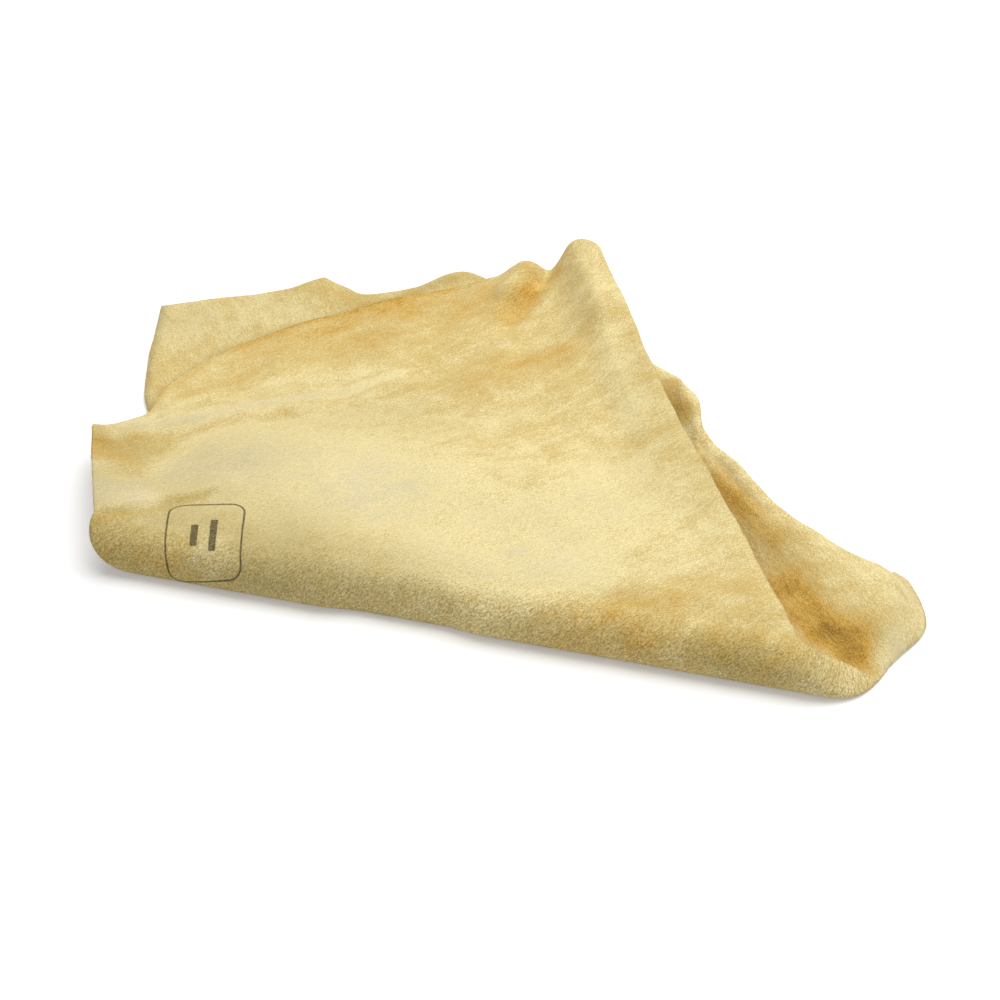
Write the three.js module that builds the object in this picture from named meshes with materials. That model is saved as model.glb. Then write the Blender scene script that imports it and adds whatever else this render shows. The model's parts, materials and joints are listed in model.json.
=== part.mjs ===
// A chamois leather: one napped skin, folded over once along a loose front fold and left lying.
// Millimetres, +Z up. The fold runs along X at the front and both leaves lie behind it, along +Y.
// The skin is one piece. It is modelled as the two leaves that the fold lets move: the under leaf,
// which lies flat, and the top leaf. They meet along the front line of the fold.

import * as THREE from "three";

// The skin
const SKIN_THICKNESS = 1.2;
const HALF_SKIN = SKIN_THICKNESS / 2;
const LEAF_CLEARANCE = 0.5;

// The fold's section: it leaves the table, turns over at the front and ends level on the crest.
const FOLD_HEIGHT = 17;
const FOLD_LOWER_PULL = 12;
const FOLD_UPPER_PULL = 13;
const FOLD_CREST_SETBACK = 5;
const FOLD_HINGE_SHARE = 0.41;

// Cut edges of the skin where they cross the fold: the left end, at table level and on the crest,
// and the rim around the right tip, as places in plan with the height of the skin there.
const FOLD_LEFT_ON_TABLE = -126;
const FOLD_LEFT_ON_CREST = -156;
const FOLD_LEFT_ROUNDING = 2.4;
const TIP_RIM = [
  [136.2, 13.4, 0],
  [134.6, 11.6, 1],
  [131.7, 10.4, 2.6],
  [126.2, 8.4, 5.4],
  [119.2, 6.2, 8.9],
  [112.7, 5.5, 12.2],
  [106, 6.4, 15],
];
// The fold closes towards the rim within this reach, the more sharply the closer it comes.
const RIM_REACH = 30;
const RIM_SHARPNESS = 9;

// Cut edges of the top leaf behind the crest, as places in plan with the height of the skin there.
const TOP_LEFT_EDGE = [
  [-166, 28, 19],
  [-178, 58, 16],
];
const TOP_BACK_EDGE = [
  [-171, 68, 10],
  [-165, 84, 6],
  [-165, 99, 6],
  [-153, 128, 5],
  [-130, 153, 6],
  [-106, 171, 8],
  [-80, 187, 11],
  [-61, 194, 15],
  [-50, 198, 18],
  [-42, 199, 20.5],
  [-34, 202, 23.5],
  [-29, 203, 26],
  [-24, 204, 28.5],
  [-19, 204, 31],
  [-14, 201, 32],
];
const TOP_RIGHT_EDGE = [
  [-9, 194, 32.3],
  [8, 164, 31],
  [24, 135.5, 28.8],
  [44, 102, 25],
  [58, 82, 22.4],
  [74, 57, 20.4],
  [90, 30, 19],
  [99, 16.5, 17.8],
];

// Soft forms of the top leaf. Each runs along a line in plan and fades out around it. They set in
// gradually over the first share of the leaf behind the fold.
const SOFT_FORM_START = 0.2;
const TOP_SWELL = { from: [-110, 62], to: [10, 62], rise: 5, reach: 42 };
const TOP_LEFT_CREST = { from: [-160, 66], to: [-104, 98], rise: 3, reach: 17 };
const TOP_CORNER_BUMP = { from: [-44, 201], to: [-45, 186], rise: 4.5, reach: 11 };
const TOP_CORNER_CREASE = { from: [-34, 205], to: [-42, 168], rise: -2, reach: 9 };
const TOP_CORNER_NOTCH = { from: [-32, 206], to: [-35, 194], rise: -2.5, reach: 7 };
const TOP_CORNER_LOBE = { from: [-20, 206], to: [-13, 182], rise: 5.5, reach: 14 };
const TOP_FORMS = [
  TOP_SWELL,
  TOP_LEFT_CREST,
  TOP_CORNER_BUMP,
  TOP_CORNER_CREASE,
  TOP_CORNER_NOTCH,
  TOP_CORNER_LOBE,
];

// Edges of the under leaf. The left and right edges lie on the table.
const UNDER_LEFT_EDGE = [
  [-146, 40],
  [-162, 80],
  [-173, 98],
  [-180.5, 121],
  [-185, 140],
  [-190, 162],
];
// The crest behind the under leaf, as places in plan with its height. Behind it the skin drops to
// the table, so the cut edge lies further out where the crest is high.
const UNDER_BACK_CREST = [
  [-176, 170, 0],
  [-161, 177, 0],
  [-144, 187, 1],
  [-131, 196, 3.5],
  [-121, 195, 1.5],
  [-112, 191, 2],
  [-92, 195, 6.5],
  [-76, 202, 12],
  [-63, 202, 10],
  [-38, 187, 10],
  [-8, 165, 15],
  [24, 141, 21],
  [29, 133, 22.5],
  [34.5, 127, 22.5],
  [39.5, 117.5, 18],
  [48, 106, 17],
  [60, 92, 18.5],
  [73, 78, 17],
  [88, 66, 16.5],
  [104, 59, 14.6],
  [118, 59, 11],
  [126, 63.5, 5],
];
const UNDER_RIGHT_EDGE = [
  [131.3, 69.3],
  [137.2, 65],
  [143.8, 53.2],
  [146.8, 43],
  [145.9, 37],
  [141.8, 28.6],
  [138.6, 21],
  [137.2, 16.5],
];
const CREST_DROP = 0.5;
const CREST_LEAST_DROP = 5;
const CREST_DROP_DIRECTION = new THREE.Vector2(0.6, 0.8);
// The crest fades further in towards the right, from a share of the back edge to another.
const CREST_REACH_LEFT = 36;
const CREST_REACH_RIGHT = 58;
const CREST_REACH_FROM = 0.55;
const CREST_REACH_TO = 0.75;
// Soft forms of the under leaf: a trough inside the crest at the right and a swell beside the tip.
const UNDER_TROUGH = { from: [56, 89], to: [90, 57], rise: -4, reach: 11 };
const TIP_SWELL = { from: [131, 50], to: [132, 32], rise: 3.5, reach: 13 };
const UNDER_FORMS = [UNDER_TROUGH, TIP_SWELL];

// Steps of the two leaves
const COLUMNS = 26;
const FOLD_ROWS = 6;
const TOP_ROWS = 15;
const UNDER_ROWS = 15;
const COLUMN_BIAS = 0.8;
const UNDER_ROW_BIAS = 1.6;

const SKIN_COLOUR = 0xe6d09a;
const SKIN_ROUGHNESS = 0.95;

function ease(t) {
  return t * t * (3 - 2 * t);
}

function fade(distance, reach) {
  const t = THREE.MathUtils.clamp(1 - distance / reach, 0, 1);
  return ease(t);
}

function point(place) {
  return new THREE.Vector3(place[0], place[1], place[2] ?? 0);
}

function curve(places) {
  return new THREE.CatmullRomCurve3(places, false, "centripetal");
}

// The fold

const foldSection = new THREE.CubicBezierCurve(
  new THREE.Vector2(0, 0),
  new THREE.Vector2(-FOLD_LOWER_PULL, 0),
  new THREE.Vector2(FOLD_CREST_SETBACK - FOLD_UPPER_PULL, FOLD_HEIGHT),
  new THREE.Vector2(FOLD_CREST_SETBACK, FOLD_HEIGHT),
);

const tipRim = curve(TIP_RIM.map(point));

// How far the fold has closed at a distance inside the rim: 1 at the rim, 0 at its reach.
function rimShare(distance) {
  return Math.pow(THREE.MathUtils.clamp(1 - distance / RIM_REACH, 0, 1), RIM_SHARPNESS);
}

// A point of the fold: share is 0 on the table and 1 on the crest.
function foldPoint(u, share) {
  const leftCut = Math.pow(1 - share, FOLD_LEFT_ROUNDING);
  const left = THREE.MathUtils.lerp(FOLD_LEFT_ON_CREST, FOLD_LEFT_ON_TABLE, leftCut);
  const rim = tipRim.getPointAt(share);
  const section = foldSection.getPoint(share);
  const place = new THREE.Vector3(THREE.MathUtils.lerp(left, rim.x, u), section.x, section.y);
  const near = rimShare(rim.x - place.x);
  place.y = THREE.MathUtils.lerp(place.y, rim.y, near);
  place.z = THREE.MathUtils.lerp(place.z, rim.z, near);
  return place;
}

// A patch between four edges. In plan it is straight between them. Its height leaves the front
// edge level, so that it runs on from the fold without a crease.
function patchPoint(edges, u, v) {
  const front = edges.front(u);
  const back = edges.back(u);
  const left = edges.left(v);
  const right = edges.right(v);
  const result = new THREE.Vector3();
  for (const axis of ["x", "y", "z"]) {
    const w = axis === "z" ? ease(v) : v;
    const leftBase = THREE.MathUtils.lerp(edges.front(0)[axis], edges.back(0)[axis], w);
    const rightBase = THREE.MathUtils.lerp(edges.front(1)[axis], edges.back(1)[axis], w);
    const across = THREE.MathUtils.lerp(front[axis], back[axis], w);
    const sides = THREE.MathUtils.lerp(left[axis] - leftBase, right[axis] - rightBase, u);
    result[axis] = across + sides;
  }
  return result;
}

// The top leaf

const topBackLeft = point(TOP_LEFT_EDGE.at(-1));
const topBackRight = point(TOP_RIGHT_EDGE[0]);
const topLeftCurve = curve([foldPoint(0, 1), ...TOP_LEFT_EDGE.map(point)]);
const topRightCurve = curve([foldPoint(1, 1), ...TOP_RIGHT_EDGE.map(point).reverse()]);
const topBackCurve = curve([topBackLeft, ...TOP_BACK_EDGE.map(point), topBackRight]);
const topEdges = {
  front: (u) => foldPoint(u, 1),
  back: (u) => topBackCurve.getPointAt(u),
  left: (v) => topLeftCurve.getPointAt(v),
  right: (v) => topRightCurve.getPointAt(v),
};

function softForm(form, flat) {
  const line = new THREE.Line3(point(form.from), point(form.to));
  const nearest = line.closestPointToPoint(flat, true, new THREE.Vector3());
  return form.rise * fade(nearest.distanceTo(flat), form.reach);
}

function topPoint(u, v) {
  const place = patchPoint(topEdges, u, v);
  const flat = place.clone().setZ(0);
  const start = ease(Math.min(1, v / SOFT_FORM_START));
  for (const form of TOP_FORMS) place.z += start * softForm(form, flat);
  return place;
}

// The under leaf

function underBackPoint(place) {
  const reach = CREST_DROP * place[2];
  const x = place[0] + reach * CREST_DROP_DIRECTION.x;
  const y = place[1] + reach * CREST_DROP_DIRECTION.y;
  return new THREE.Vector3(x, y, place[2]);
}

const underBackLeft = point(UNDER_LEFT_EDGE.at(-1));
const underBackRight = point(UNDER_RIGHT_EDGE[0]);
const underLeftCurve = curve([foldPoint(0, 0), ...UNDER_LEFT_EDGE.map(point)]);
const underRightCurve = curve([foldPoint(1, 0), ...UNDER_RIGHT_EDGE.map(point).reverse()]);
const underBackCurve = curve([
  underBackLeft,
  ...UNDER_BACK_CREST.map(underBackPoint),
  underBackRight,
]);
const underEdges = {
  front: (u) => foldPoint(u, 0),
  back: (u) => underBackCurve.getPointAt(u).setZ(0),
  left: (v) => underLeftCurve.getPointAt(v),
  right: (v) => underRightCurve.getPointAt(v),
};

// The crest stands a little inside the cut edge, drops to the table outside and fades inside.
function crestRise(u, place) {
  const edge = underBackCurve.getPointAt(u);
  const height = Math.max(0, edge.z);
  const distance = Math.hypot(place.x - edge.x, place.y - edge.y);
  const drop = Math.max(CREST_LEAST_DROP, CREST_DROP * height);
  if (distance < drop) {
    return height * Math.sqrt(1 - (1 - distance / drop) ** 2);
  }
  const turn = THREE.MathUtils.smoothstep(u, CREST_REACH_FROM, CREST_REACH_TO);
  const reach = THREE.MathUtils.lerp(CREST_REACH_LEFT, CREST_REACH_RIGHT, turn);
  return height * fade(distance - drop, reach);
}

function underPoint(u, v) {
  const place = patchPoint(underEdges, u, v);
  const flat = place.clone().setZ(0);
  place.z = crestRise(u, place);
  for (const form of UNDER_FORMS) place.z += softForm(form, flat);
  return place;
}

// A closed sheet of the skin around rows of points, each row running from left to right.
function sheetGeometry(rows) {
  const rowCount = rows.length;
  const columnCount = rows[0].length;
  const along = new THREE.Vector3();
  const across = new THREE.Vector3();
  const upper = [];
  const lower = [];
  for (let r = 0; r < rowCount; r += 1) {
    for (let c = 0; c < columnCount; c += 1) {
      along.subVectors(rows[r][Math.min(c + 1, columnCount - 1)], rows[r][Math.max(c - 1, 0)]);
      across.subVectors(rows[Math.min(r + 1, rowCount - 1)][c], rows[Math.max(r - 1, 0)][c]);
      const normal = along.clone().cross(across).normalize();
      upper.push(rows[r][c].clone().addScaledVector(normal, HALF_SKIN));
      lower.push(rows[r][c].clone().addScaledVector(normal, -HALF_SKIN));
    }
  }
  const count = upper.length;
  const index = [];
  const quad = (a, b, c, d) => index.push(a, b, c, a, c, d);
  for (let r = 0; r + 1 < rowCount; r += 1) {
    for (let c = 0; c + 1 < columnCount; c += 1) {
      const a = r * columnCount + c;
      const b = a + 1;
      const d = a + columnCount;
      const e = d + 1;
      quad(a, b, e, d);
      quad(count + a, count + d, count + e, count + b);
    }
  }
  const rim = [];
  const last = (rowCount - 1) * columnCount;
  for (let c = 0; c + 1 < columnCount; c += 1) rim.push(c);
  for (let r = 0; r + 1 < rowCount; r += 1) rim.push(r * columnCount + columnCount - 1);
  for (let c = columnCount - 1; c > 0; c -= 1) rim.push(last + c);
  for (let r = rowCount - 1; r > 0; r -= 1) rim.push(r * columnCount);
  rim.forEach((a, i) => {
    const b = rim[(i + 1) % rim.length];
    quad(a, count + a, count + b, b);
  });
  const geometry = new THREE.BufferGeometry();
  geometry.setFromPoints([...upper, ...lower]);
  geometry.setIndex(index);
  geometry.computeVertexNormals();
  return geometry;
}

// Columns stand closer together towards the right end, and the under leaf's rows towards its back
// edge, where the skin is most bent.
function rowOf(surface) {
  const row = [];
  for (let c = 0; c <= COLUMNS; c += 1) {
    row.push(surface(Math.pow(c / COLUMNS, COLUMN_BIAS)));
  }
  return row;
}

const foldLength = foldSection.getLength();
const clearanceShare = LEAF_CLEARANCE / 2 / foldLength;

function topRows() {
  const start = FOLD_HINGE_SHARE + clearanceShare;
  const rows = [];
  for (let r = 0; r < FOLD_ROWS; r += 1) {
    const share = THREE.MathUtils.lerp(start, 1, r / FOLD_ROWS);
    rows.push(rowOf((u) => foldPoint(u, share)));
  }
  for (let r = 0; r <= TOP_ROWS; r += 1) {
    rows.push(rowOf((u) => topPoint(u, r / TOP_ROWS)));
  }
  return rows;
}

function underRows() {
  const start = FOLD_HINGE_SHARE - clearanceShare;
  const rows = [];
  for (let r = 0; r < FOLD_ROWS; r += 1) {
    const share = THREE.MathUtils.lerp(start, 0, r / FOLD_ROWS);
    rows.push(rowOf((u) => foldPoint(u, share)));
  }
  for (let r = 0; r <= UNDER_ROWS; r += 1) {
    const v = 1 - Math.pow(1 - r / UNDER_ROWS, UNDER_ROW_BIAS);
    rows.push(rowOf((u) => underPoint(u, v)));
  }
  return rows;
}

function leaf(name, rows) {
  const material = new THREE.MeshStandardMaterial({
    color: SKIN_COLOUR,
    roughness: SKIN_ROUGHNESS,
    metalness: 0,
  });
  const mesh = new THREE.Mesh(sheetGeometry(rows), material);
  mesh.name = name;
  return mesh;
}

const chamois = new THREE.Group();
chamois.name = "chamois_leather";
chamois.add(leaf("under_leaf", underRows()));
chamois.add(leaf("top_leaf", topRows()));

// The origin is the middle of the base.
const box = new THREE.Box3().setFromObject(chamois);
const middle = box.getCenter(new THREE.Vector3());
for (const mesh of chamois.children) {
  mesh.geometry.translate(-middle.x, -middle.y, -box.min.z);
}

export default chamois;
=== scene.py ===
"""Chamois leather: one napped skin, folded over once along a loose front fold and left lying.

The top leaf carries the whole fold. The under leaf lies on the table. Outlines are written in millimetres
from the middle of the fold: x along the fold, y behind it and z up.
"""

import json
import math

import bmesh
import bpy
import numpy as np
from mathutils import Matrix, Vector


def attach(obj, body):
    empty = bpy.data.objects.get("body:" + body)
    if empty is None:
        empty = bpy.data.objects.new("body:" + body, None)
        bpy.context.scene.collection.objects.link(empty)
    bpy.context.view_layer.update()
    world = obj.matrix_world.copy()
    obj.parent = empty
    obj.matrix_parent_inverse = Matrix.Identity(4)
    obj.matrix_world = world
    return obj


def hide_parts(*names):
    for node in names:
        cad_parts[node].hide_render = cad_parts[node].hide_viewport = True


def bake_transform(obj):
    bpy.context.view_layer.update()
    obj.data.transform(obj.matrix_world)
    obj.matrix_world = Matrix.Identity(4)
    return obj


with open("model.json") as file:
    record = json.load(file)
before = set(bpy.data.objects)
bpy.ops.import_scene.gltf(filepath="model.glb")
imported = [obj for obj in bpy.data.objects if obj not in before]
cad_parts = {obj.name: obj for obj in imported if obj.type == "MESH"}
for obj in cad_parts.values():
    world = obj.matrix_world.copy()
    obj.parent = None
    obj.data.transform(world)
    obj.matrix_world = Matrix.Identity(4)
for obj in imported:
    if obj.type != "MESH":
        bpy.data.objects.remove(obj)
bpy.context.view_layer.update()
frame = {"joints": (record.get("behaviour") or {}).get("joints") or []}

bl_info = {
    "name": "Chamois Leather",
    "version": (1, 0, 0),
    "blender": (4, 5, 0),
    "location": "View3D > Sidebar > Chamois",
    "description": "Builds a folded chamois leather and a plain stage for it",
    "category": "Object",
}

MM = 0.001
HINGE = frame["joints"][0]

# Cut edges of the skin where they cross the fold: along the left end, and the rim around the right tip.
FOLD_LEFT_ON_TABLE = -126
FOLD_LEFT_ON_CREST = -156
FOLD_LEFT_ROUNDING = 2.4
TIP_RIM = (
    (136.2, 13.4, 0),
    (135.3, 10.8, 0.2),
    (133.6, 8.6, 1.3),
    (130.6, 7.8, 3),
    (126.2, 7.6, 5.3),
    (119.2, 6.2, 8.9),
    (112.7, 5.5, 12.2),
    (106, 6.4, 15),
)

# How far from the rim the fold starts to follow it, and how sharply.
RIM_REACH = 30
RIM_SHARPNESS = 8

# Dents of the fold's front: a line along the fold, the depth there and the reach in which it fades out.
FOLD_DENTS = ((((-50, 0), (-22, 0)), 2.8, 18),)

# Cut edges of the top leaf behind the crest, as places in plan with the height of the skin there.
TOP_LEFT_EDGE = ((-166, 28, 19), (-178, 58, 16))
TOP_BACK_EDGE = (
    (-171, 68, 10),
    (-165, 84, 6),
    (-165, 99, 6),
    (-153, 128, 5),
    (-130, 153, 6),
    (-106, 171, 8),
    (-80, 187, 11),
    (-61, 194, 15),
    (-50, 198, 18),
    (-42, 199, 20.5),
    (-34, 202, 23.5),
    (-29, 203, 27.6),
    (-26, 204, 30.5),
    (-22, 204.4, 31.6),
    (-17.5, 203, 32.6),
    (-14, 200.4, 33.2),
)
TOP_RIGHT_EDGE = (
    (-10.2, 193.2, 32.2),
    (8, 164, 31),
    (24, 135.5, 28.8),
    (44, 102, 25),
    (58, 82, 22.4),
    (74, 57, 20.4),
    (90, 30, 19),
    (99, 16.5, 17.8),
)

# The line of the left part of the top leaf's rear edge, and where it shades the under leaf.
TOP_REAR_PLACES = 8
TOP_REAR_SHIFT = (-2, 7)
TOP_REAR_LINE = tuple(place[:2] for place in TOP_BACK_EDGE[:TOP_REAR_PLACES])
TOP_REAR_SHADE = tuple((x + TOP_REAR_SHIFT[0], y + TOP_REAR_SHIFT[1]) for x, y in TOP_REAR_LINE)

# Soft forms of the top leaf: a line in plan, the rise along it and the reach in which it fades out. They set
# in behind the crest, within a share of the leaf.
TOP_FORMS = (
    (((-110, 62), (10, 62)), 5.0, 42),
    (((-160, 66), (-104, 98)), 3.0, 17),
    (((-44, 201), (-45, 186)), 4.5, 11),
    (((-34, 205), (-42, 168)), -2.0, 9),
    (((-32, 206), (-35, 194)), -2.5, 7),
    (((-20, 206), (-13, 182), (-6, 166)), 3.6, 15),
)
TOP_FORMS_START = 0.2

# Fine creases of the top leaf, written in the same way.
TOP_CREASES = (
    (((-158, 1), (-140, 11), (-132, 16), (-120, 25)), -0.9, 4),
    (((-152, 11), (-134, 21), (-114, 33)), 0.9, 8),
    (((-170, 63), (-140, 76), (-114, 94), (-93, 111)), 1.5, 4),
    (((-166, 56), (-138, 68), (-110, 86)), -0.7, 6),
    (((-31, 192), (-36, 178), (-42, 160)), -1.0, 5),
    (((-50, 186), (-48, 170)), 0.7, 7),
)

# Edges of the under leaf: on the table at the left and the right, and over a raised crest at the back.
UNDER_LEFT_EDGE = (
    (-146, 40, 0),
    (-162, 80, 0),
    (-173, 98, 0),
    (-180.5, 121, 0),
    (-185, 140, 0),
    (-190, 162, 0),
)
UNDER_BACK_CREST = (
    (-176, 170, 0),
    (-161, 177, 0),
    (-144, 187.5, 1),
    (-133, 195.3, 3.3),
    (-131, 196.4, 3.6),
    (-129, 196, 3.1),
    (-121, 194.6, 1.5),
    (-112, 191, 2),
    (-92, 195, 6.5),
    (-76, 202, 12),
    (-63, 202, 10),
    (-38, 187, 10),
    (-8, 165, 15),
    (24, 141, 21),
    (29, 133, 22.5),
    (34.5, 127, 22.5),
    (39.5, 117.5, 18),
    (48, 106, 17),
    (60, 92, 18.5),
    (73, 78, 17),
    (88, 66, 16.5),
    (104, 59, 14.6),
    (118, 59, 11),
    (126, 63.5, 5),
)
UNDER_RIGHT_EDGE = (
    (131.3, 69.3, 0),
    (137.2, 65, 0),
    (143.8, 53.2, 0),
    (146.8, 43, 0),
    (145.9, 37, 0),
    (141.8, 28.6, 0),
    (138.6, 21, 0),
    (137.2, 16.5, 0),
)

# Soft forms of the under leaf: a trough inside the crest at the right and a swell beside the tip.
UNDER_FORMS = (
    (((53, 86), (87, 54)), -1.2, 12),
    (((131, 50), (132, 32)), 2.0, 15),
)

# Fine creases of the under leaf, below the hump and along the crest.
UNDER_CREASES = (
    (((39, 121), (45, 110), (52, 98)), -1.5, 5),
    (((50, 107), (57, 99), (66, 89), (73, 80.5), (83, 71.5)), -0.7, 3),
)

# The crest's outer side leans out by a share of its height, at least by so much, and in this direction.
CREST_DROP = 0.5
CREST_LEAST_DROP = 5
CREST_DROP_DIRECTION = (0.6, 0.8)

# Its inner side runs out within a reach that changes from left to right between two shares of the edge.
CREST_INNER_REACH = (36, 70)
CREST_REACH_TURN = (0.55, 0.75)

# Steps of the two leaves, and the share of the top leaf's rows that lies in the fold.
TOP_STEPS = (250, 180)
UNDER_STEPS = (250, 165)
FOLD_ROW_SHARE = 0.2

# Rows of the under leaf crowd towards its back edge, and its columns towards the right.
UNDER_ROW_BIAS = 1.6
UNDER_COLUMN_BIAS = 0.8

# Half the side of the grid that a leaf is laid from.
GRID_HALF = 0.5

# Side of the square of flat skin that the UV map covers, and where the fold's middle lies on that map.
FLAT_SIDE = 500
UV_MIDDLE = 0.5

# Random waves: how many make a field, and how far their sizes spread.
WAVE_COUNT = 9
WAVE_SPREAD = (0.7, 1.5)

# Ripples of the leaves, by seed, size and share. On the under leaf they set in gently behind the fold.
TOP_RIPPLES = ((21, 45, 1), (22, 16, 0.4))
UNDER_RIPPLES = ((31, 40, 1), (32, 15, 0.4))
UNDER_RIPPLE_START = 25

# Wander of the cut edges: the first seed, its waves by size and share, and the calm length at the ends.
EDGE_SEED = 11
EDGE_WAVES = ((28, 0.7), (6, 0.3))
EDGE_CALM_END = 12

# Steps between two places of an edge, the spacing rule of its knots, and steps of the fold's section.
EDGE_STEPS = 60
KNOT_POWER = 0.5
SECTION_STEPS = 400

# Stains of the nap, and painted shade and painted highlights: a line in plan, its strength and its reach.
# Golden is above nought, pale below it.
TOP_STAINS_AND_SHADING = (
    (((-182, 52), (-170, 51), (-153, 54)), 1.15, 19),
    (((-165, 22), (-138, 36), (-112, 48)), -0.6, 26),
    (((-160, 16), (-142, 17)), -0.5, 10),
    (((-165, 40), (-90, 45)), -0.7, 80),
    # Painted shade: golden along the crease at the left end of the fold.
    (((-158, 0), (-140, 10), (-120, 24)), 0.8, 5),
    (((-133, 20), (-117, 28)), 0.7, 4),
    (((-155, -4), (-122, -8)), 0.9, 18),
    (((-172, 42), (-152, 35)), 1.35, 15),
    # Painted highlight: a pale line along the crest of the left part.
    (((-170, 63), (-140, 76), (-114, 94), (-93, 111), (-76, 128)), -0.9, 5),
    # Painted shadow: a golden line just in front of that crest.
    (((-163, 57), (-138, 69), (-110, 87)), 0.55, 7),
    (((-164, 96), (-138, 119), (-104, 153)), 0.5, 24),
    (((-118, 112), (-92, 128)), -0.25, 14),
    (((-94, 172), (-87, 170)), 0.4, 10),
    (((-143, 142), (-106, 172), (-86, 180), (-60, 182)), 0.7, 20),
    (TOP_REAR_LINE, 0.5, 4),
    (((-90, 150), (-40, 150), (10, 140)), 0.35, 45),
    # A golden stain with painted shade in the crease beside the lobe.
    (((-33, 196), (-41, 176)), 0.65, 12),
    (((-42, 195), (-37, 187)), 0.4, 8),
    (((-38, 180), (-44, 164)), 0.35, 9),
    (((-46, 124), (-22, 141), (3, 154)), 0.35, 18),
    (((-56, 134), (-18, 145)), 0.2, 9),
    (((-78, 118), (-62, 122)), 0.25, 13),
    (((-36, 150), (-10, 157)), -0.3, 8),
    # Painted light: pale on the slope along the lobe's right edge, which faces away from the light.
    (((2, 150), (14, 126), (22, 112)), -0.5, 13),
    (((-60, 47), (-17, 34), (14, 32), (30, 59)), -0.6, 36),
    # Painted light: pale over the top of the fold in the middle.
    (((-30, 8), (4, 11), (30, 18)), -0.45, 20),
    (((44, 4), (62, 13), (84, 19)), 0.6, 16),
    (((16, -12), (60, -12), (100, -8)), 0.3, 16),
    (((50, -9), (56, -8)), 0.45, 9),
    (((69, 8), (78, 16)), -0.5, 8),
    (((82, -9), (86, -8)), 0.5, 5),
    (((80, -2), (91, -1)), 0.6, 10),
    (((30, -2), (70, 4)), 0.35, 20),
    (((100, -8), (124, 4)), 0.25, 16),
    (((94, 7), (100, 6)), 0.35, 9),
)
UNDER_STAINS_AND_SHADING = (
    # Painted shade: golden on the hump's inner side, towards the top leaf's edge.
    (((31, 135), (36, 126), (42, 119)), 1.0, 7),
    # Painted highlight: a pale rim along the hump's outer side.
    (((38, 136), (44, 126), (47, 117)), -0.3, 6),
    # Painted shade: dark gold below the hump, beside the top leaf's edge.
    (((49, 105), (52, 101), (57, 96)), 0.5, 6),
    # Painted shade: golden in the trough inside the crest, towards the pocket.
    (((60, 93), (66, 87), (74, 78)), 0.55, 8),
    (((59, 89), (66, 80), (78, 71), (88, 62)), 0.6, 7),
    (((64, 80), (78, 67), (92, 50), (112, 28), (126, 22)), 0.45, 22),
    # A golden stain with painted shade, deepest in the pocket at the tip.
    (((95, 40), (110, 27), (125, 22), (126, 17)), 0.95, 15),
    (((114, 24), (125, 20), (126, 17)), 0.3, 15),
    (((114, 18), (126, 13)), 0.45, 10),
    (((135, 18), (139, 25)), -1.0, 8),
    (((100, 60), (136, 36)), 0.15, 40),
    # Painted highlight: pale along the crest at the right.
    (((56, 104), (65, 95), (83, 78), (100, 66), (115, 60), (130, 54)), -0.3, 8),
    # Painted light: pale on the swell at the right end, which slopes away from the light.
    (((136, 52), (142, 36)), -0.35, 16),
    (((-178, 156), (-153, 166), (-132, 180)), -0.3, 26),
    (((-176, 106), (-168, 124)), 0.35, 20),
    (((-140, 190), (-112, 186)), 0.7, 16),
    (((-92, 190), (-66, 200)), 0.3, 18),
)

# Painted shade over the front of the fold greys the nap: from a place behind the crest, within a reach and
# up to a strength that change from the left end to the right end.
FOLD_SHADE_SPAN = (-95, 30)
FOLD_SHADE_START = (46, 12)
FOLD_SHADE_REACH = (52, 30)
FOLD_SHADE_STRENGTH = (0.98, 0.2)

# Low on the front of the fold, a share of that painted shade is spared.
FOLD_SHADE_LOW = -8
FOLD_SHADE_LOW_REACH = 10
FOLD_SHADE_LOW_SPARED = 0.35

# Lines of painted shade and of grey nap, or less of it where the strength is below nought.
TOP_SHADE_AND_GREY = (
    # Painted shade at the left end of the top leaf.
    (((-165, 24), (-138, 36), (-112, 48)), 0.2, 34),
    (((-165, 50), (-66, 95)), 0.18, 60),
    # Painted shade low on the front of the fold at the right.
    (((84, -13), (112, -6)), 0.35, 14),
    (((76, -6), (90, -3)), 0.4, 11),
    (((26, 84), (36, 70)), 0.2, 16),
    # Less painted shade on the front of the fold at the left and in the middle.
    (((-160, 6), (-140, 14)), -0.3, 12),
    (((-160, 17), (-142, 18)), -0.35, 12),
    (((-150, -3), (-128, -6), (-112, -3)), -0.38, 18),
    (((-126, -5), (-108, -3)), -0.2, 14),
    (((-60, -10), (-8, -10)), -0.15, 14),
    # Grey of the stain at the left end.
    (((-182, 52), (-170, 51), (-158, 52)), 0.45, 16),
    (((-100, 90), (-66, 97)), 0.15, 30),
    (((20, 130), (45, 95), (62, 68)), 0.25, 30),
)
UNDER_SHADE_AND_GREY = (
    # Painted shadow of the top leaf's rear edge on the under leaf.
    (TOP_REAR_SHADE, 0.55, 6),
    (((-178, 150), (-120, 180)), 0.3, 45),
    (((-186, 150), (-176, 160)), 0.2, 16),
)

# The nap stands up and is coarser on the front of the fold, below a place behind the crest.
ROUGH_START = 14
ROUGH_REACH = 22

# Patterns of the nap on the flat skin: size in metres along and across, detail and distortion.
BROAD_NOISE = ((0.09, 0.03), 3, 0)
STREAK_NOISE = ((0.04, 0.007), 4, 0)
HAIR_NOISE = ((0.012, 0.0025), 2, 0.4)
MOTTLE_NOISE = ((0.009, 0.007), 4, 0)
SPECKLE_NOISE = ((0.0005, 0.0005), 3, 0.6)
FIBRE_NOISE = ((0.0016, 0.00045), 2, 1.5)
CLUMP_NOISE = ((0.0011, 0.0006), 3, 1)
WRINKLE_NOISE = ((0.016, 0.006), 3, 0.8)

# Part of the fibres in the nap, and of the clumps in the coarse nap.
FIBRE_PART = 0.5
CLUMP_PART = 0.55

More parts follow.
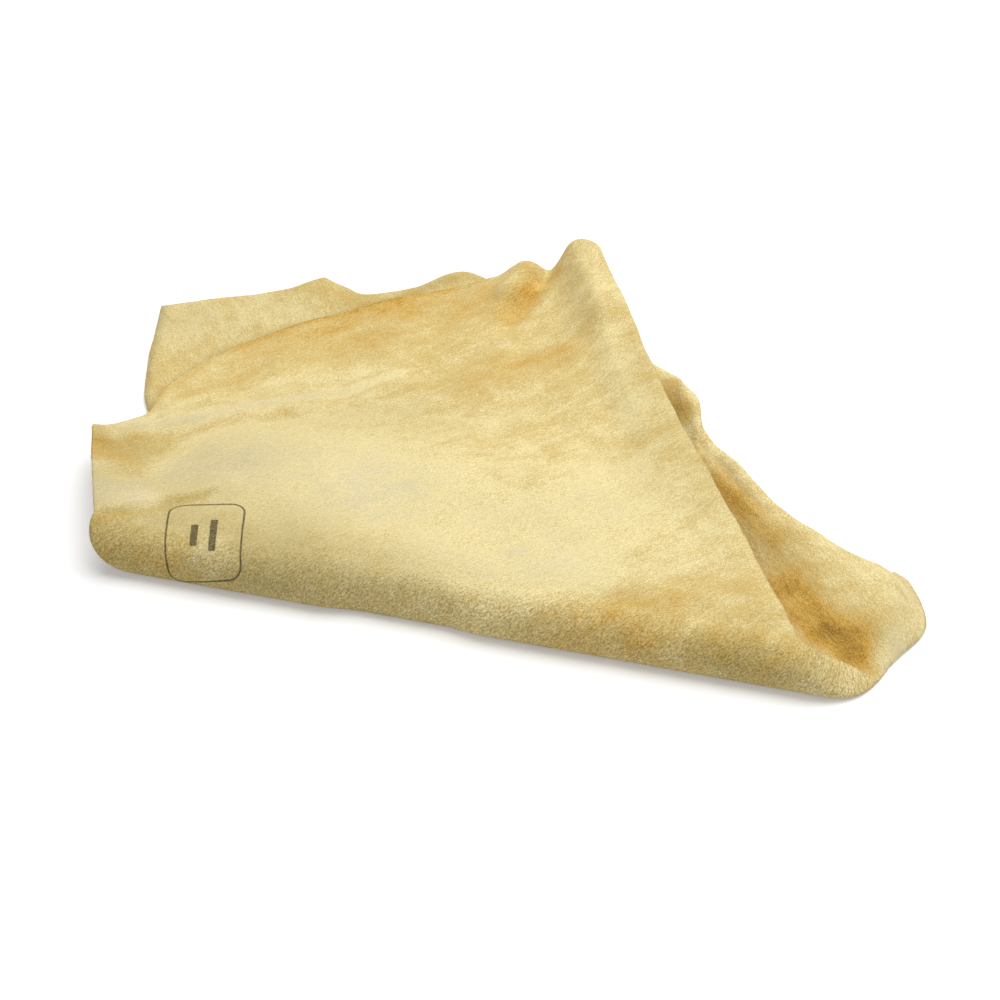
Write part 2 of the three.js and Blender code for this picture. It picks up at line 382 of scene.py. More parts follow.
# Shares of the patterns and of the stains with their painted shade and highlights in the warmth of the
# colour.
BASE_WARMTH = 0.22
BROAD_SHARE = 0.5
STREAK_SHARE = 0.6
HAIR_SHARE = 0.35
MOTTLE_SHARE = 0.8
NAP_SHARE = -1.5
STAIN_AND_SHADING_SHARE = 0.6

# Warmth at which each colour sets in and is reached, and how much of the painted shade and grey nap shows at
# most.
PALE_WARMTH = (-0.7, -0.1)
STRAW_WARMTH = (-0.1, 0.55)
GOLD_WARMTH = (0.4, 1.15)
UMBER_WARMTH = (0.9, 1.6)
SHADE_AND_GREY_SHARE = 0.7

# Light and dark of single tufts, on even nap and on coarse nap.
TUFT_RANGE = (0.36, 0.64)
TUFT_TONES = (0.81, 1.145)
COARSE_TONES = (0.6, 1.36)

# Relief of the nap, and the parts that wrinkles and coarse clumps have in it.
BUMP_DEPTH = 0.35 * MM
BUMP_STRENGTH = 0.5
WRINKLE_PART = 3.0
SHAG_PART = 0.8

# Dark flecks, far apart, with the share of their size that is their core.
FLECK_SPACING = 55 * MM
FLECK_SIZE = 0.9 * MM
FLECK_CORE = 0.4
FLECK_STRENGTH = 0.6

# How the nap takes the light: matt, with a faint sheen.
NAP_FINISH = {
    "Roughness": 0.95,
    "Specular IOR Level": 0.15,
    "Sheen Weight": 0.12,
    "Sheen Roughness": 0.6,
}

# A plain ink frame with two bars, printed over the left end of the fold, in millimetres of the flat skin.
INK_MIDDLE = (-113, 27)
INK_TURN = math.radians(15)
INK_HALF = (14, 17.5)
INK_ROUNDING = 5
INK_LINE = 0.68
INK_LINE_FADE = (0.3, 0.8)
INK_BARS = (((3.5, 1), (1.3, 7.5)), ((-3.5, 1), (1.3, 5)))
INK_BAR_ROUNDING = 0.4
INK_BAR_FADE = (-0.2, 0.3)
INK_STRENGTH = 0.92
INK_WORN = 0.75

# The stage in metres: a white table that glows a little for the camera alone, and a soft box above it.
WHITE = (1, 1, 1, 1)
FLOOR_HALF = 4
FLOOR_COLOUR = (0.85, 0.85, 0.85, 1)
FLOOR_GLOW = 0.27
SOFT_BOX_SIDE = 1.5
SOFT_BOX_PLACE = (0.12, 0.3, 1.28)
SENSOR_WIDTH = 36


def ease(t):
    """A smooth step from 0 to 1."""
    t = np.clip(t, 0, 1)
    return t * t * (3 - 2 * t)


def lerp(a, b, t):
    """The value at a share t of the way from a to b."""
    return a + (b - a) * t


def line_gap(places, x, y):
    """Distance in plan from a line through places."""
    nearest = np.full_like(x, np.inf)
    for (ax, ay), (bx, by) in zip(places, places[1:]):
        run_x, run_y = bx - ax, by - ay
        t = ((x - ax) * run_x + (y - ay) * run_y) / (run_x**2 + run_y**2)
        t = np.clip(t, 0, 1)
        nearest = np.minimum(nearest, np.hypot(x - ax - t * run_x, y - ay - t * run_y))
    return nearest


def soft_lines(lines, x, y):
    """Sum of soft lines: each has its full strength on its line and fades to nothing at its reach."""
    total = np.zeros_like(x)
    for places, strength, reach in lines:
        total += strength * ease(1 - line_gap(places, x, y) / reach)
    return total


def waves(x, y, seed, size):
    """A smooth random field of about unit height, made of a few slanting waves of about that size."""
    pick = np.random.RandomState(seed)
    total = np.zeros_like(x)
    for _ in range(WAVE_COUNT):
        turn = pick.uniform(0, math.pi)
        pace = 2 * math.pi / (size * pick.uniform(*WAVE_SPREAD))
        start = pick.uniform(0, 2 * math.pi)
        total += np.sin(pace * (x * math.cos(turn) + y * math.sin(turn)) + start)
    return total / math.sqrt(WAVE_COUNT)


def wave_mix(x, y, parts):
    """Sum of random fields, each given by its seed, the size of its waves and its share."""
    return sum(share * waves(x, y, seed, size) for seed, size, share in parts)


def edge_line(places, ragged=0.0, seed=0):
    """A smooth line through places, as a function that gives points at even shares of its length.

    A ragged edge wanders in plan by about that much, and not at its two ends.
    """
    p = np.array(places, float)
    p = np.vstack([2 * p[0] - p[1], p, 2 * p[-1] - p[-2]])
    step = np.linalg.norm(np.diff(p, axis=0), axis=1) ** KNOT_POWER
    t = np.linspace(0, 1, EDGE_STEPS, endpoint=False)[:, None]
    runs = []
    for i in range(1, len(p) - 2):
        a, b, c, d = p[i - 1 : i + 3]
        before, here, after = step[i - 1 : i + 2]
        leave = ((b - a) / before - (c - a) / (before + here) + (c - b) / here) * here
        reach = ((c - b) / here - (d - b) / (here + after) + (d - c) / after) * here
        bend = 3 * (c - b) - 2 * leave - reach
        twist = 2 * (b - c) + leave + reach
        runs.append(b + leave * t + bend * t**2 + twist * t**3)
    points = np.vstack([*runs, p[-2:-1]])
    length = np.concatenate([[0], np.cumsum(np.linalg.norm(np.diff(points, axis=0), axis=1))])
    if ragged:
        along = np.gradient(points[:, :2], axis=0)
        along /= np.linalg.norm(along, axis=1)[:, None]
        parts = [(seed + i, size, share) for i, (size, share) in enumerate(EDGE_WAVES)]
        wander = ragged * wave_mix(length, np.zeros_like(length), parts)
        wander *= ease(length / EDGE_CALM_END) * ease((length[-1] - length) / EDGE_CALM_END)
        points[:, 0] -= along[:, 1] * wander
        points[:, 1] += along[:, 0] * wander
    share = length / length[-1]
    return lambda s: np.stack([np.interp(s, share, points[:, k]) for k in range(3)], axis=-1)


class SkinShape:
    """The middle surface of the skin in millimetres, from the settings and the outlines above."""

    def __init__(self, settings):
        self.height = settings.fold_height / MM
        self.setback = settings.fold_setback / MM
        self.lower_pull = settings.fold_lower_pull / MM
        self.upper_pull = settings.fold_upper_pull / MM
        self.half = settings.thickness / MM / 2
        self.ripple = settings.ripple / MM
        if self.height <= 4 * self.half:
            raise ValueError("The fold has to be higher than two thicknesses of the skin")
        share = np.linspace(0, 1, SECTION_STEPS)
        y, z = self.section(share)
        self.front = y.min() - self.half
        run = np.concatenate([[0], np.cumsum(np.hypot(np.diff(y), np.diff(z)))])
        self.fold_length = run[-1]
        self.fold_run = lambda s: np.interp(s, share, run)
        self.tip_rim = edge_line(TIP_RIM)
        self.edges = self.cut_edges(settings.ragged / MM)

    def cut_edges(self, ragged):
        """The cut edges of both leaves, each with a wander of its own."""
        ends = np.array([0.0, 1.0])
        table_left, table_right = self.fold(ends, np.zeros(2))
        crest_left, crest_right = self.fold(ends, np.ones(2))
        out_x, out_y = CREST_DROP_DIRECTION
        back = [(x + CREST_DROP * z * out_x, y + CREST_DROP * z * out_y, z) for x, y, z in UNDER_BACK_CREST]
        lines = {
            "top left": [crest_left, *TOP_LEFT_EDGE],
            "top right": [crest_right, *TOP_RIGHT_EDGE[::-1]],
            "top back": [TOP_LEFT_EDGE[-1], *TOP_BACK_EDGE, TOP_RIGHT_EDGE[0]],
            "under left": [table_left, *UNDER_LEFT_EDGE],
            "under right": [table_right, *UNDER_RIGHT_EDGE[::-1]],
            "under back": [UNDER_LEFT_EDGE[-1], *back, UNDER_RIGHT_EDGE[0]],
        }
        return {name: edge_line(line, ragged, EDGE_SEED + i) for i, (name, line) in enumerate(lines.items())}

    def section(self, share):
        """The fold's section: y and z at a share of its curve, 0 on the table and 1 on the crest."""
        rest = 1 - share
        y = -3 * rest**2 * share * self.lower_pull
        y = y + 3 * rest * share**2 * (self.setback - self.upper_pull) + share**3 * self.setback
        z = self.height * (3 * rest * share**2 + share**3)
        return y, z

    def fold(self, u, share):
        """The fold from its left end to the rim around its tip."""
        left = lerp(FOLD_LEFT_ON_CREST, FOLD_LEFT_ON_TABLE, (1 - share) ** FOLD_LEFT_ROUNDING)
        rim = self.tip_rim(share)
        x = lerp(left, rim[:, 0], u)
        y, z = self.section(share)
        near = np.clip(1 - (rim[:, 0] - x) / RIM_REACH, 0, 1) ** RIM_SHARPNESS
        return np.stack([x, lerp(y, rim[:, 1], near), lerp(z, rim[:, 2], near)], axis=-1)

    def patch(self, front, back, left, right, u, v):
        """A patch between four edges, straight in plan, that leaves its front edge level."""
        w = np.stack([v, v, ease(v)], axis=-1)
        first, last = np.zeros(1), np.ones(1)
        left_base = lerp(front(first), back(first), w)
        right_base = lerp(front(last), back(last), w)
        across = lerp(front(u), back(u), w)
        return across + lerp(left(v) - left_base, right(v) - right_base, u[:, None])

    def top(self, u, v):
        """Points of the top leaf with the fold, and their places on the flat skin."""
        share = np.clip(v / FOLD_ROW_SHARE, 0, 1)
        leaf = np.clip((v - FOLD_ROW_SHARE) / (1 - FOLD_ROW_SHARE), 0, 1)
        in_fold = v < FOLD_ROW_SHARE
        place = self.patch(
            lambda s: self.fold(s, np.ones_like(s)),
            self.edges["top back"],
            self.edges["top left"],
            self.edges["top right"],
            u,
            leaf,
        )
        place[:, 2] += soft_lines(TOP_FORMS, place[:, 0], place[:, 1]) * ease(leaf / TOP_FORMS_START)
        place[:, 2] += soft_lines(TOP_CREASES, place[:, 0], place[:, 1])
        points = np.where(in_fold[:, None], self.fold(u, share), place)
        run = self.fold_run(share) + np.where(in_fold, 0, place[:, 1] - self.setback)
        x = points[:, 0]
        lift = self.ripple * wave_mix(x, run, TOP_RIPPLES) * ease(run / self.fold_length)
        bulge = 4 * share * (1 - share)
        points[:, 2] += lift * np.where(in_fold, share, 1)
        points[:, 1] -= lift * np.where(in_fold, 1 - share, 0)
        points[:, 1] += soft_lines(FOLD_DENTS, x, np.zeros_like(x)) * bulge
        return points, np.stack([x, run], axis=-1)

    def under(self, u, v):
        """Points of the under leaf, and their places on the flat skin."""
        u = u**UNDER_COLUMN_BIAS
        v = 1 - (1 - v) ** UNDER_ROW_BIAS
        flat = np.array([1, 1, 0])
        place = self.patch(
            lambda s: self.fold(s, np.zeros_like(s)) * flat,
            lambda s: self.edges["under back"](s) * flat,
            lambda s: self.edges["under left"](s) * flat,
            lambda s: self.edges["under right"](s) * flat,
            u,
            v,
        )
        x, y = place[:, 0], place[:, 1]
        back = self.edges["under back"](u)
        height = np.maximum(back[:, 2], 0)
        gap = np.hypot(x - back[:, 0], y - back[:, 1])
        drop = np.maximum(CREST_LEAST_DROP, CREST_DROP * height)
        outside = np.sqrt(np.clip(1 - (1 - gap / drop) ** 2, 0, 1))
        turn_start, turn_end = CREST_REACH_TURN
        reach = lerp(*CREST_INNER_REACH, ease((u - turn_start) / (turn_end - turn_start)))
        inside = ease(1 - (gap - drop) / reach)
        rise = height * np.where(gap < drop, outside, inside)
        rise += soft_lines(UNDER_FORMS, x, y) + soft_lines(UNDER_CREASES, x, y)
        rise += self.ripple * wave_mix(x, y, UNDER_RIPPLES) * ease(y / UNDER_RIPPLE_START)
        place[:, 2] = np.maximum(rise, 0)
        return place, np.stack([x, -y], axis=-1)


def unrolled(grid, points, flat, columns):
    """Flat places moved on by the length that bends add along the grid's rows and columns."""
    order = np.lexsort((grid[:, 0], grid[:, 1]))
    net = points[order].reshape(-1, columns, 3)
    base = flat[order].reshape(-1, columns, 2)
    middle = columns // 2
    added = []
    for axis in (1, 0):
        laid = np.linalg.norm(np.diff(net, axis=axis), axis=2)
        plain = np.linalg.norm(np.diff(base, axis=axis), axis=2)
        total = np.cumsum(np.maximum(laid - plain, 0), axis=axis)
        added.append(np.insert(total, 0, 0, axis=axis))
    added[0] -= added[0][:, middle][:, None]
    added[1] *= np.sign(base[-1, middle, 1])
    moved = np.empty_like(flat)
    moved[order] = (base + np.stack(added, axis=-1)).reshape(-1, 2)
    return moved


def leaf_mesh(name, steps, surface, shape):
    """A grid of that many steps laid on a surface, with its places on the flat skin as its UV map."""
    if name in bpy.data.objects:
        raise RuntimeError(f"{name} is in the scene already")
    bm = bmesh.new()
    bmesh.ops.create_grid(bm, x_segments=steps[0], y_segments=steps[1], size=GRID_HALF)
    grid = np.clip(np.array([vert.co[:2] for vert in bm.verts]) + GRID_HALF, 0, 1)
    points, flat = surface(grid[:, 0], grid[:, 1])
    origin = np.array([HINGE["pos_m"][0], HINGE["pos_m"][1] - shape.front * MM, shape.half * MM])
    for vert, point in zip(bm.verts, points * MM + origin):
        vert.co = point
    layer = bm.loops.layers.uv.new("flat")
    places = unrolled(grid, points, flat, steps[0] + 1) / FLAT_SIDE + UV_MIDDLE
    for face in bm.faces:
        face.smooth = True
        for loop in face.loops:
            loop[layer].uv = places[loop.vert.index]
    mesh = bpy.data.meshes.new(name)
    bm.to_mesh(mesh)
    bm.free()
    piece = bpy.data.objects.new(name, mesh)
    bpy.context.scene.collection.objects.link(piece)
    return piece, flat


def paint(piece, name, values):
    """Keep one value for each point of a piece under a name that its material reads."""
    layer = piece.data.attributes.new(name, "FLOAT", "POINT")
    layer.data.foreach_set("value", np.asarray(values, np.float32))


def fold_shade(x, behind):
    """How much shade is painted over the fold, which greys the nap, from places along it and behind its
    crest.
    """
    side = ease((x - FOLD_SHADE_SPAN[0]) / (FOLD_SHADE_SPAN[1] - FOLD_SHADE_SPAN[0]))
    start = lerp(*FOLD_SHADE_START, side)
    reach = lerp(*FOLD_SHADE_REACH, side)
    shade_and_grey_nap = ease((start - behind) / reach) * lerp(*FOLD_SHADE_STRENGTH, side)
    return shade_and_grey_nap * (1 - FOLD_SHADE_LOW_SPARED * ease((FOLD_SHADE_LOW - behind) / FOLD_SHADE_LOW_REACH))


def thicken(piece, thickness):
    """Give a sheet its thickness, half to each side, with its last material on the underside."""
    skin = piece.modifiers.new("Skin thickness", "SOLIDIFY")
    skin.thickness = thickness
    skin.offset = 0
    skin.material_offset = len(piece.data.materials) - 1


class NodeKit:
    """Short ways to add the nodes of a material."""

    def __init__(self, tree):
        self.tree = tree

    def add(self, kind, inputs=None, **settings):
        """A node with its settings made and its inputs linked or filled in."""
        made = self.tree.nodes.new(kind)
        for name, value in settings.items():
            setattr(made, name, value)
        for name, value in (inputs or {}).items():
            if isinstance(value, bpy.types.NodeSocket):
                self.tree.links.new(value, made.inputs[name])
            else:
                made.inputs[name].default_value = value
        return made

    def math(self, operation, a, b=0.0, c=0.0):
        """The result of one sum."""
        return self.add("ShaderNodeMath", {0: a, 1: b, 2: c}, operation=operation).outputs[0]

    def fade(self, value, low, high, start=0.0, end=1.0):
        """A smooth step from start, where the value is low, to end, where it is high."""
        inputs = {"Value": value, "From Min": low, "From Max": high, "To Min": start, "To Max": end}
        return self.add("ShaderNodeMapRange", inputs, interpolation_type="SMOOTHSTEP").outputs["Result"]

    def noise(self, where, size, detail, bend):
        """Noise of that size in metres, along and across."""
        scale = (1 / size[0], 1 / size[1], 1)
        grain = self.add("ShaderNodeVectorMath", {0: where, 1: scale}, operation="MULTIPLY").outputs[0]
        inputs = {"Vector": grain, "Scale": 1, "Detail": detail, "Distortion": bend}
        return self.add("ShaderNodeTexNoise", inputs).outputs["Fac"]

    def blended(self, part, a, b):
        """A value of which that part is a and the rest is b."""
        return self.math("MULTIPLY_ADD", a, part, self.math("MULTIPLY", b, 1 - part))

    def mix(self, share, a, b, blend="MIX"):
        """Two colours mixed, with that share of the second."""
        node = self.add("ShaderNodeMix", {0: share, 6: a, 7: b}, data_type="RGBA", blend_type=blend)
        return node.outputs[2]

    def painted(self, name):
        """The values painted on the piece under that name."""
        return self.add("ShaderNodeAttribute", attribute_name=name).outputs["Fac"]

    def box_gap(self, x, y, centre, half, rounding):
        """Distance from a rounded box, below nought inside it."""
        squares = []
        for value, middle, size in ((x, centre[0], half[0]), (y, centre[1], half[1])):
            off = self.math("ABSOLUTE", self.math("SUBTRACT", value, middle))
            reach = self.math("MAXIMUM", self.math("SUBTRACT", off, size - rounding), 0.0)
            squares.append(self.math("MULTIPLY", reach, reach))
        return self.math("SUBTRACT", self.math("SQRT", self.math("ADD", *squares)), rounding)


def ink_frame(kit, flat, nap):
    """How much ink covers the nap: the outline of a rounded frame with two bars in it."""
    middle = [place * MM + FLAT_SIDE * MM * UV_MIDDLE for place in INK_MIDDLE]
    turn = {"Vector": flat, "Center": (*middle, 0), "Angle": -INK_TURN}
    upright = kit.add("ShaderNodeVectorRotate", turn, rotation_type="Z_AXIS").outputs[0]
    parts = kit.add("ShaderNodeSeparateXYZ", {0: upright})
    x, y = parts.outputs[0], parts.outputs[1]
    outline = kit.box_gap(x, y, middle, [side * MM for side in INK_HALF], INK_ROUNDING * MM)
    line_fade = [INK_LINE * MM * share for share in INK_LINE_FADE]
    ink = kit.fade(kit.math("ABSOLUTE", outline), *line_fade, 1.0, 0.0)
    bar_fade = [edge * MM for edge in INK_BAR_FADE]
    for offset, half in INK_BARS:
        centre = [place + shift * MM for place, shift in zip(middle, offset)]
        bar = kit.box_gap(x, y, centre, [side * MM for side in half], INK_BAR_ROUNDING * MM)
        ink = kit.math("MAXIMUM", ink, kit.fade(bar, *bar_fade, 1.0, 0.0))
    worn = kit.fade(nap, *TUFT_RANGE, INK_STRENGTH, INK_STRENGTH * INK_WORN)
    return kit.math("MULTIPLY", ink, worn)


def napped_skin(settings, name, inked):
    """Napped skin with golden streaks along the hide, with or without the ink frame."""
    known = bpy.data.materials.get(name)
    if known:
        return known
    material = bpy.data.materials.new(name)
    material.use_nodes = True
    links = material.node_tree.links
    kit = NodeKit(material.node_tree)
    shader = material.node_tree.nodes["Principled BSDF"]
    uv = kit.add("ShaderNodeUVMap", uv_map="flat").outputs["UV"]
    flat = kit.add("ShaderNodeVectorMath", {0: uv, "Scale": FLAT_SIDE * MM}, operation="SCALE").outputs[0]
    turn = {"Vector": flat, "Angle": -settings.streak_turn}
    along = kit.add("ShaderNodeVectorRotate", turn, rotation_type="Z_AXIS").outputs[0]

    # Colour by warmth, from the stains with the painted shade and highlights, and from the patterns.
    nap = kit.blended(FIBRE_PART, kit.noise(along, *FIBRE_NOISE), kit.noise(flat, *SPECKLE_NOISE))
    fields = (
        (kit.noise(along, *BROAD_NOISE), BROAD_SHARE),
        (kit.noise(along, *STREAK_NOISE), STREAK_SHARE),
        (kit.noise(along, *HAIR_NOISE), HAIR_SHARE),
        (kit.noise(flat, *MOTTLE_NOISE), MOTTLE_SHARE),
        (nap, NAP_SHARE),
    )
    level = BASE_WARMTH - sum(share for _, share in fields) / 2
    warmth = kit.math("MULTIPLY_ADD", kit.painted("stain_and_shading"), STAIN_AND_SHADING_SHARE, level)
    for field, share in fields:
        warmth = kit.math("MULTIPLY_ADD", field, share, warmth)
    colour = kit.mix(kit.fade(warmth, *PALE_WARMTH), settings.cream, settings.pale)
    colour = kit.mix(kit.fade(warmth, *STRAW_WARMTH), colour, settings.straw)
    colour = kit.mix(kit.fade(warmth, *GOLD_WARMTH), colour, settings.gold)
    colour = kit.mix(kit.fade(warmth, *UMBER_WARMTH), colour, settings.umber)
    # Painted shade, and grey nap, mixed in towards that colour.
    colour = kit.mix(kit.math("MULTIPLY", kit.painted("shade_and_grey_nap"), SHADE_AND_GREY_SHARE), colour, settings.shade_and_grey_nap)

    # Flecks, the light and dark of single tufts, and the ink over them.
    cells = kit.add("ShaderNodeTexVoronoi", {"Vector": flat, "Scale": 1 / FLECK_SPACING})
    size = FLECK_SIZE / FLECK_SPACING
    fleck = kit.fade(cells.outputs["Distance"], size * FLECK_CORE, size, FLECK_STRENGTH, 0.0)
    colour = kit.mix(fleck, colour, settings.umber)
    rough = kit.painted("rough")
    clumps = kit.noise(along, *CLUMP_NOISE)
    even = kit.fade(nap, *TUFT_RANGE, *TUFT_TONES)
    coarse = kit.fade(kit.blended(CLUMP_PART, clumps, nap), *TUFT_RANGE, *COARSE_TONES)
    tone = kit.math("MULTIPLY_ADD", kit.math("SUBTRACT", coarse, even), rough, even)
    grey = kit.add("ShaderNodeCombineColor", {0: tone, 1: tone, 2: tone}).outputs[0]
    colour = kit.mix(1.0, colour, grey, "MULTIPLY")
    if inked:
        colour = kit.mix(ink_frame(kit, flat, nap), colour, settings.ink)
    links.new(colour, shader.inputs["Base Color"])

    # Relief of the same nap, with broader wrinkles.
    height = kit.math("MULTIPLY_ADD", kit.noise(along, *WRINKLE_NOISE), WRINKLE_PART, nap)
    height = kit.math("MULTIPLY_ADD", kit.math("MULTIPLY", clumps, rough), SHAG_PART, height)
    bump = kit.add("ShaderNodeBump", {"Strength": BUMP_STRENGTH, "Distance": BUMP_DEPTH, "Height": height})
    links.new(bump.outputs[0], shader.inputs["Normal"])
    for socket, value in NAP_FINISH.items():
        shader.inputs[socket].default_value = value
    shader.inputs["Sheen Tint"].default_value = settings.pale
    return material


def lay_floor(scene):
    """A wide white table, which glows a little for the camera alone."""
    mesh = bpy.data.meshes.new("floor")
    bm = bmesh.new()
    bmesh.ops.create_grid(bm, x_segments=1, y_segments=1, size=FLOOR_HALF)
    bm.to_mesh(mesh)
    bm.free()
    floor = bpy.data.objects.new("floor", mesh)
    scene.collection.objects.link(floor)
    material = bpy.data.materials.new("White table")
    material.use_nodes = True
    kit = NodeKit(material.node_tree)
    shader = material.node_tree.nodes["Principled BSDF"]
    shader.inputs["Base Color"].default_value = FLOOR_COLOUR
    shader.inputs["Roughness"].default_value = 1
    shader.inputs["Specular IOR Level"].default_value = 0
    shader.inputs["Emission Color"].default_value = WHITE
    seen = kit.add("ShaderNodeLightPath").outputs["Is Camera Ray"]
    glow = kit.math("MULTIPLY", seen, FLOOR_GLOW)
    material.node_tree.links.new(glow, shader.inputs["Emission Strength"])
    mesh.materials.append(material)


def set_light(scene, stage):
    """White light from all round, and a soft box above the table."""
    world = bpy.data.worlds.new("Studio")
    world.use_nodes = True
    background = world.node_tree.nodes["Background"]
    background.inputs["Color"].default_value = WHITE
    background.inputs["Strength"].default_value = stage.sky
    scene.world = world
    key = bpy.data.objects.new("soft_box", bpy.data.lights.new("soft_box", "AREA"))
    key.data.shape = "SQUARE"
    key.data.size = SOFT_BOX_SIDE
    key.data.energy = stage.key_power
    key.location = SOFT_BOX_PLACE
    key.rotation_euler = (-key.location).to_track_quat("-Z", "Y").to_euler()
    scene.collection.objects.link(key)


def set_camera(scene, stage):
    """A camera that sees the skin as the photograph does."""
    camera = bpy.data.objects.new("camera", bpy.data.cameras.new("camera"))
    camera.data.sensor_width = SENSOR_WIDTH
    camera.data.lens = camera.data.sensor_width * stage.distance / stage.view_width
    aim = Vector((HINGE["pos_m"][0] + stage.aim[0], HINGE["pos_m"][1] + stage.aim[1], 0))
    level = math.cos(stage.elevation) * stage.distance
    right = math.sin(stage.azimuth) * level
    forward = -math.cos(stage.azimuth) * level
    camera.location = aim + Vector((right, forward, math.sin(stage.elevation) * stage.distance))
    camera.rotation_euler = (aim - camera.location).to_track_quat("-Z", "Y").to_euler()
    scene.collection.objects.link(camera)
    scene.camera = camera
    scene.view_settings.view_transform = "Standard"


class SkinSettings(bpy.types.PropertyGroup):
    """Sizes and colours of the skin."""

    thickness: bpy.props.FloatProperty(
        name="Thickness",
        description="Thickness of the skin",
        default=1.2 * MM,
        min=0.5 * MM,
        unit="LENGTH",
    )
    fold_height: bpy.props.FloatProperty(
        name="Fold height",
        description="Height of the fold's crest over the table",
        default=17 * MM,
        unit="LENGTH",
    )
    fold_setback: bpy.props.FloatProperty(
        name="Crest setback",
        description="Crest behind the line on the table",
        default=5 * MM,
        unit="LENGTH",
    )
    fold_lower_pull: bpy.props.FloatProperty(
        name="Lower pull",
        description="How far the fold's lower half bulges",
        default=12 * MM,
        unit="LENGTH",
    )
    fold_upper_pull: bpy.props.FloatProperty(
        name="Upper pull",
        description="How far the fold's upper half bulges",
        default=13 * MM,
        unit="LENGTH",
    )
    ripple: bpy.props.FloatProperty(
        name="Ripple",
        description="Height of the gentle waves of the skin",
        default=0.55 * MM,
        unit="LENGTH",
    )
    ragged: bpy.props.FloatProperty(
        name="Ragged edge",
        description="How far the cut edges wander",
        default=0.18 * MM,
        unit="LENGTH",
    )
    streak_turn: bpy.props.FloatProperty(
        name="Streaks",
        description="Turn of the streaks on the flat skin",
        default=math.radians(47),
        subtype="ANGLE",
    )
    # Cream and pale also carry the painted highlights on ridges and on slopes turned from the light.
    cream: bpy.props.FloatVectorProperty(
        name="Cream",
        description="Nap bleached to cream",
        default=(0.80, 0.69, 0.42, 1),
        size=4,
        subtype="COLOR",
    )
    pale: bpy.props.FloatVectorProperty(
        name="Pale",
        description="Pale nap",
        default=(0.88, 0.745, 0.385, 1),
        size=4,
        subtype="COLOR",
    )
    straw: bpy.props.FloatVectorProperty(
        name="Straw",
        description="Main colour of the nap",
        default=(0.72, 0.545, 0.215, 1),
        size=4,
        subtype="COLOR",
    )
    # Gold also carries painted shade in hollows and creases.
    gold: bpy.props.FloatVectorProperty(
        name="Gold",
        description="Streaks and stains",
        default=(0.66, 0.39, 0.075, 1),
        size=4,
        subtype="COLOR",
    )
    # Umber also carries the painted shade in the pocket at the tip.
    umber: bpy.props.FloatVectorProperty(
        name="Umber",
        description="Deepest stains",
        default=(0.30, 0.165, 0.03, 1),
        size=4,
        subtype="COLOR",
    )
    # Colour of the painted shade, and of grey nap.
    shade_and_grey_nap: bpy.props.FloatVectorProperty(
        name="Dusk",
        description="Greyed nap under the fold",
        default=(0.40, 0.305, 0.10, 1),
        size=4,
        subtype="COLOR",
    )
    ink: bpy.props.FloatVectorProperty(
        name="Ink",
        description="Printed frame",
        default=(0.055, 0.04, 0.018, 1),
        size=4,
        subtype="COLOR",
    )


class StageSettings(bpy.types.PropertyGroup):
    """Camera and light."""

    azimuth: bpy.props.FloatProperty(
        name="Azimuth",
        description="Camera's turn from the front",
        default=math.radians(15.3),
        subtype="ANGLE",
    )
    elevation: bpy.props.FloatProperty(
        name="Elevation",
        description="Camera's angle over the table",
        default=math.radians(38),
        subtype="ANGLE",
    )
    distance: bpy.props.FloatProperty(
        name="Distance",
        description="Camera to the point it looks at",
        default=1.1,
        unit="LENGTH",
    )
    view_width: bpy.props.FloatProperty(
        name="View width",
        description="Width seen at the point looked at",
        default=0.38,
        unit="LENGTH",
    )
    aim: bpy.props.FloatVectorProperty(
        name="Aim",
        description="Point looked at, from the front line of the fold",
        default=(-20.34 * MM, 82.14 * MM),
        size=2,
        subtype="TRANSLATION",
    )
    key_power: bpy.props.FloatProperty(
        name="Key light",
        description="Power of the soft box",
        default=19.2,
        unit="POWER",
    )
    sky: bpy.props.FloatProperty(
        name="Sky",
        description="Strength of the light from all round",
        default=0.32,
        subtype="FACTOR",
    )


class CHAMOIS_OT_top_leaf(bpy.types.Operator):
    """Build the top leaf with the fold."""

    bl_idname = "chamois.top_leaf"
    bl_label = "Top leaf and fold"

    def execute(self, context):
        settings = context.scene.chamois_skin
        shape = SkinShape(settings)
        piece, flat = leaf_mesh("top_leaf_skin", TOP_STEPS, shape.top, shape)
        x = flat[:, 0]
        behind = flat[:, 1] - shape.fold_length + shape.setback
        # Stains, with painted shade in hollows and creases and painted highlights on ridges and slopes.
        paint(piece, "stain_and_shading", soft_lines(TOP_STAINS_AND_SHADING, x, behind))
        # Painted shade over the front of the fold, and painted shade and grey nap along lines.
        paint(piece, "shade_and_grey_nap", np.clip(fold_shade(x, behind) + soft_lines(TOP_SHADE_AND_GREY, x, behind), 0, 1))
        paint(piece, "rough", ease((ROUGH_START - behind) / ROUGH_REACH))
        piece.data.materials.append(napped_skin(settings, "Napped skin with ink frame", True))
        piece.data.materials.append(napped_skin(settings, "Napped skin", False))
        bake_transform(piece)
        thicken(piece, settings.thickness)
        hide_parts("top_leaf")
        return {"FINISHED"}


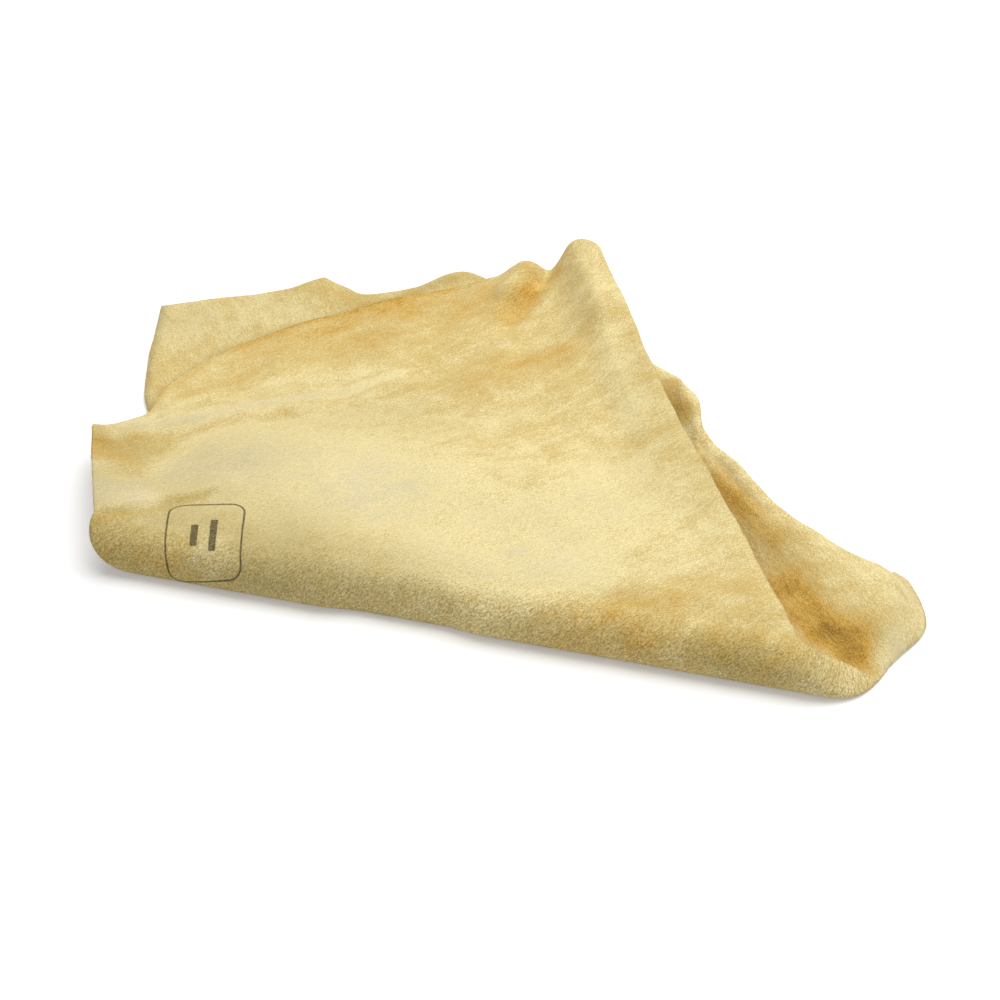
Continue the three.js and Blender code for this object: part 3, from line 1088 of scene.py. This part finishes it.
class CHAMOIS_OT_under_leaf(bpy.types.Operator):
    """Build the under leaf, lying on the table."""

    bl_idname = "chamois.under_leaf"
    bl_label = "Under leaf"

    def execute(self, context):
        settings = context.scene.chamois_skin
        shape = SkinShape(settings)
        piece, flat = leaf_mesh("under_leaf_skin", UNDER_STEPS, shape.under, shape)
        x, y = flat[:, 0], -flat[:, 1]
        # Stains, with painted shade in the trough and pocket and painted highlights on the crest.
        paint(piece, "stain_and_shading", soft_lines(UNDER_STAINS_AND_SHADING, x, y))
        # Painted shadow of the top leaf's edge, and grey nap over the rear flap.
        paint(piece, "shade_and_grey_nap", np.clip(soft_lines(UNDER_SHADE_AND_GREY, x, y), 0, 1))
        paint(piece, "rough", np.zeros_like(x))
        piece.data.materials.append(napped_skin(settings, "Napped skin", False))
        thicken(piece, settings.thickness)
        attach(piece, "under_leaf")
        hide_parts("under_leaf")
        return {"FINISHED"}


class CHAMOIS_OT_stage(bpy.types.Operator):
    """Set up the floor, the light and the camera."""

    bl_idname = "chamois.stage"
    bl_label = "Stage"

    def execute(self, context):
        stage = context.scene.chamois_stage
        lay_floor(context.scene)
        set_light(context.scene, stage)
        set_camera(context.scene, stage)
        return {"FINISHED"}


class CHAMOIS_PT_sidebar(bpy.types.Panel):
    """Lists the pieces and the stage, with their settings."""

    bl_idname = "CHAMOIS_PT_sidebar"
    bl_label = "Chamois leather"
    bl_space_type = "VIEW_3D"
    bl_region_type = "UI"
    bl_category = "Chamois"

    def draw(self, context):
        for step in STEPS:
            self.layout.operator(step.bl_idname)
        for settings in (context.scene.chamois_skin, context.scene.chamois_stage):
            box = self.layout.box()
            for name in type(settings).__annotations__:
                box.prop(settings, name)


STEPS = (CHAMOIS_OT_under_leaf, CHAMOIS_OT_top_leaf, CHAMOIS_OT_stage)
CLASSES = (SkinSettings, StageSettings, *STEPS, CHAMOIS_PT_sidebar)


def register():
    for cls in CLASSES:
        bpy.utils.register_class(cls)
    bpy.types.Scene.chamois_skin = bpy.props.PointerProperty(type=SkinSettings)
    bpy.types.Scene.chamois_stage = bpy.props.PointerProperty(type=StageSettings)


def unregister():
    del bpy.types.Scene.chamois_stage
    del bpy.types.Scene.chamois_skin
    for cls in reversed(CLASSES):
        bpy.utils.unregister_class(cls)


def main():
    register()
    bpy.ops.chamois.under_leaf()
    bpy.ops.chamois.top_leaf()
    bpy.ops.chamois.stage()


if __name__ == "__main__":
    main()
